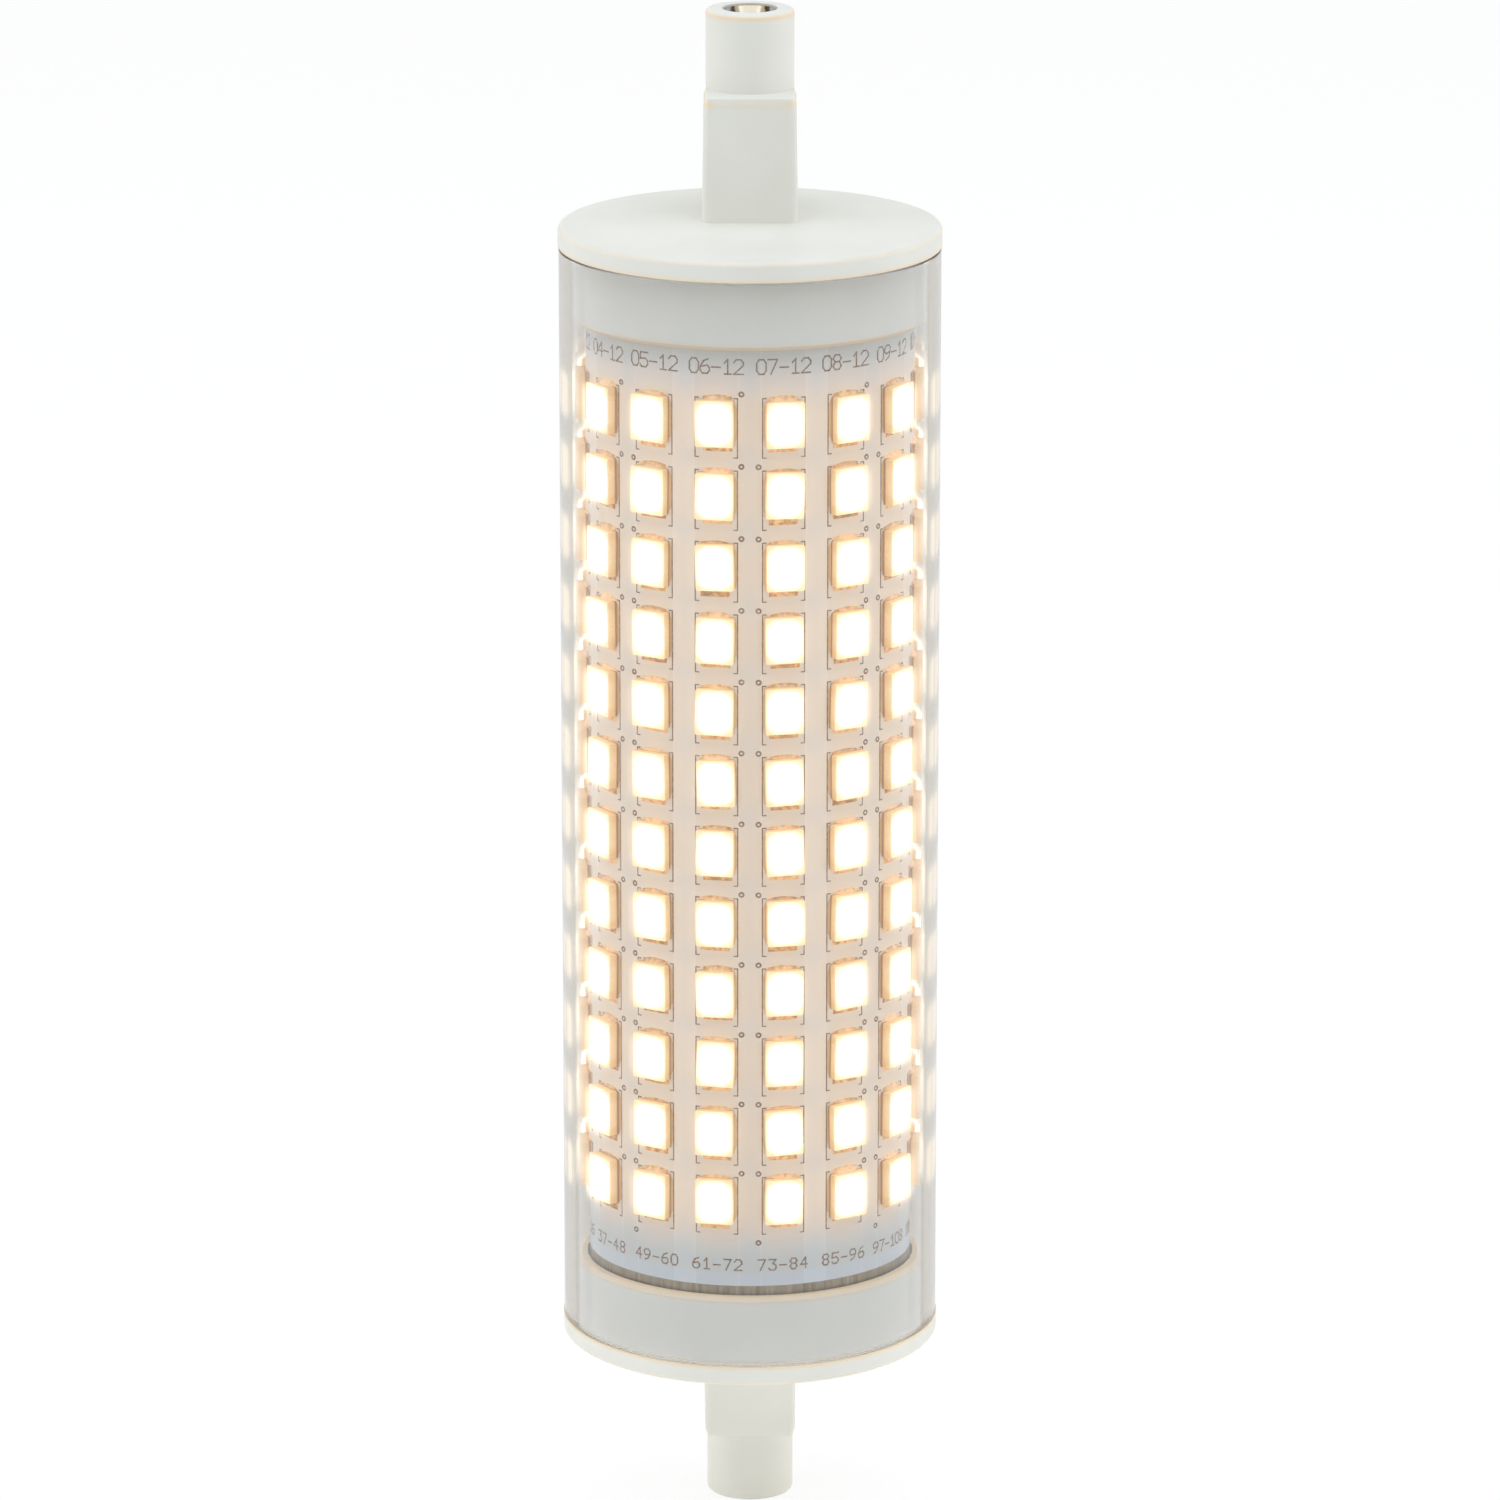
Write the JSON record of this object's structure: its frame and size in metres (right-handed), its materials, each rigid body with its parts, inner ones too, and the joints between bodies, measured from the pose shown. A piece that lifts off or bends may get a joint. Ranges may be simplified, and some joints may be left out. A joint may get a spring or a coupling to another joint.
{
  "type": "double-ended linear led lamp",
  "caption": "Tubular LED lamp: clear tube over a rolled board of LED columns, white end caps with offset stems and recessed end contacts.",
  "frame": {"origin": "middle of the lamp, on the tube's axis", "axes": "+Z along the tube; -Y towards the middle of the LED columns; the stems stand towards +Y"},
  "size_m": [0.0288, 0.0288, 0.118],
  "materials": {
    "clear_polycarbonate": "clear, polished",
    "cap_plastic": "moulded, satin ivory white",
    "contact_nickel": "nickel plated",
    "white_solder_mask": "white solder mask on aluminium",
    "led_body_plastic": "moulded white",
    "led_phosphor": "warm white phosphor in silicone, lit",
    "liner_film": "milky film",
    "driver_laminate": "green glass laminate",
    "white_wire": "insulated wire",
    "red_wire": "insulated wire",
    "black_wire": "insulated wire",
    "resistor_coating": "lacquered",
    "varistor_coating": "epoxy dipped",
    "black_epoxy": "moulded epoxy",
    "film_capacitor_case": "potted case",
    "ferrite": "sintered",
    "enamelled_copper": "wound wire",
    "capacitor_sleeve": "shrunk sleeve",
    "coil_tape": "taped winding"
  },
  "bodies": {
    "root": {"bridge_rectifier": "black_epoxy", "bulk_capacitor": "capacitor_sleeve", "chip_resistors": "black_epoxy", "choke_core": "ferrite", "choke_winding": "enamelled_copper", "control_chip": "black_epoxy", "cover_tube": "clear_polycarbonate", "driver_board": "driver_laminate", "film_capacitor": "film_capacitor_case", "fusible_resistor": "resistor_coating", "insulating_liner": "liner_film", "led_board": "white_solder_mask", "led_string_01_bodies": "led_body_plastic", "led_string_01_phosphor": "led_phosphor", "led_string_02_bodies": "led_body_plastic", "led_string_02_phosphor": "led_phosphor", "led_string_03_bodies": "led_body_plastic", "led_string_03_phosphor": "led_phosphor", "led_string_04_bodies": "led_body_plastic", "led_string_04_phosphor": "led_phosphor", "led_string_05_bodies": "led_body_plastic", "led_string_05_phosphor": "led_phosphor", "led_string_06_bodies": "led_body_plastic", "led_string_06_phosphor": "led_phosphor", "led_string_07_bodies": "led_body_plastic", "led_string_07_phosphor": "led_phosphor", "led_string_08_bodies": "led_body_plastic", "led_string_08_phosphor": "led_phosphor", "led_string_09_bodies": "led_body_plastic", "led_string_09_phosphor": "led_phosphor", "led_string_10_bodies": "led_body_plastic", "led_string_10_phosphor": "led_phosphor", "led_string_11_bodies": "led_body_plastic", "led_string_11_phosphor": "led_phosphor", "led_string_12_bodies": "led_body_plastic", "led_string_12_phosphor": "led_phosphor", "lower_cap": "cap_plastic", "lower_contact": "contact_nickel", "lower_lead_wire": "white_wire", "negative_feed_wire": "black_wire", "output_capacitor": "capacitor_sleeve", "output_diode": "black_epoxy", "positive_feed_wire": "red_wire", "switching_transistor": "black_epoxy", "transformer_coil": "coil_tape", "transformer_core": "ferrite", "upper_cap": "cap_plastic", "upper_contact": "contact_nickel", "upper_lead_wire": "white_wire", "varistor": "varistor_coating"}
  },
  "joints": []
}
